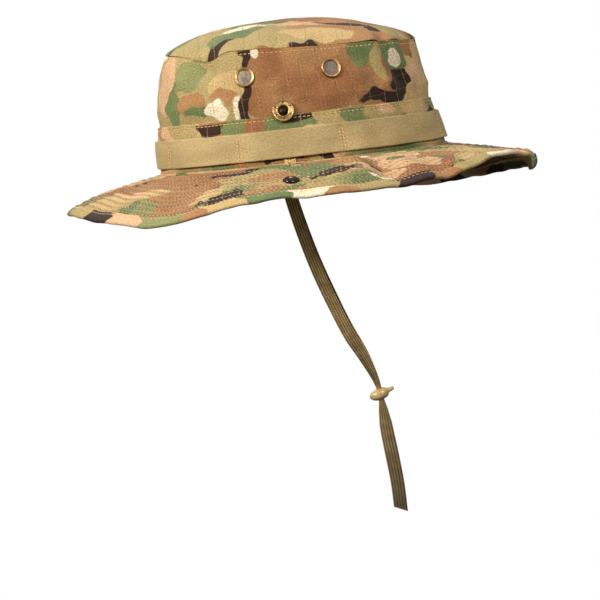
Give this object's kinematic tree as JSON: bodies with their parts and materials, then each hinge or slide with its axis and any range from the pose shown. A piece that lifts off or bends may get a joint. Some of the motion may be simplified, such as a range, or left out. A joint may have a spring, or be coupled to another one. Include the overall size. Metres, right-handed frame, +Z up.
{
  "type": "boonie hat",
  "caption": "Soft boonie hat: domed crown with mesh eyelets and a foliage tape, stitched brim whose sides fold up and snap to the crown, braided chin strap with a bead slider.",
  "frame": {"origin": "middle of the head opening, in the plane where the crown meets the brim", "axes": "+X to the front of the hat, +Y to the wearer's left, +Z up through the crown"},
  "size_m": [0.3413, 0.3118, 0.3646],
  "materials": {
    "camo_ripstop": "printed ripstop cloth, matte, woven grid",
    "foliage_webbing": "plain olive-tan woven tape, matte",
    "sweatband_twill": "plain twill, matte",
    "strap_braid": "ribbed flat braid, slight sheen",
    "tack_thread": "bonded thread",
    "brass": "antique brass, satin",
    "black_metal": "black lacquer, glossy",
    "steel_wire_mesh": "woven wire, satin",
    "slider_plastic": "glossy moulded bead"
  },
  "bodies": {
    "crown": {"crown_top": "camo_ripstop", "right_side_panel": "camo_ripstop", "left_side_panel": "camo_ripstop", "crown_base_strip": "camo_ripstop", "brim_upper_ply": "camo_ripstop", "brim_lower_ply": "camo_ripstop", "brim_binding_front": "camo_ripstop", "brim_binding_back": "camo_ripstop", "foliage_tape": "foliage_webbing", "sweatband": "sweatband_twill", "top_seam_tape": "sweatband_twill", "right_rear_eyelet_ring": "brass", "right_rear_eyelet_washer": "brass", "right_rear_eyelet_mesh": "steel_wire_mesh", "right_front_eyelet_ring": "brass", "right_front_eyelet_washer": "brass", "right_front_eyelet_mesh": "steel_wire_mesh", "right_snap_socket": "brass", "right_socket_cap": "brass", "right_strap_bartack": "tack_thread", "right_strap_tab": "strap_braid", "left_rear_eyelet_ring": "brass", "left_rear_eyelet_washer": "brass", "left_rear_eyelet_mesh": "steel_wire_mesh", "left_front_eyelet_ring": "brass", "left_front_eyelet_washer": "brass", "left_front_eyelet_mesh": "steel_wire_mesh", "left_snap_socket": "brass", "left_socket_cap": "brass", "left_strap_bartack": "tack_thread", "left_strap_tab": "strap_braid"},
    "right_brim_side": {"right_brim_upper_ply": "camo_ripstop", "right_brim_lower_ply": "camo_ripstop", "right_brim_binding": "camo_ripstop", "right_snap_stud": "black_metal", "right_stud_cap": "black_metal"},
    "left_brim_side": {"left_brim_upper_ply": "camo_ripstop", "left_brim_lower_ply": "camo_ripstop", "left_brim_binding": "camo_ripstop", "left_snap_stud": "black_metal", "left_stud_cap": "black_metal"},
    "chin_strap": {"right_strap": "strap_braid", "left_strap": "strap_braid"},
    "slider": {"strap_slider": "slider_plastic"}
  },
  "joints": [
    {"name": "right_brim_fold", "type": "hinge", "parent": "crown", "child": "right_brim_side", "pos_m": [0, -0.0913, 0.00035], "axis": [-1, 0, 0], "range_deg": [0, 117.5], "stiffness_Nm_per_rad": 0.01},
    {"name": "left_brim_fold", "type": "hinge", "parent": "crown", "child": "left_brim_side", "pos_m": [0, 0.0913, 0.00035], "axis": [1, 0, 0], "range_deg": [0, 124.5], "stiffness_Nm_per_rad": 0.01},
    {"name": "chin_strap_swing", "type": "hinge", "parent": "crown", "child": "chin_strap", "pos_m": [-0.015, 0, -0.0035], "axis": [0, -1, 0], "range_deg": [-75, 55]},
    {"name": "slider_slide", "type": "slide", "parent": "chin_strap", "child": "slider", "axis": [0.0637, 0, -0.998], "range_m": [0, 0.07]}
  ]
}
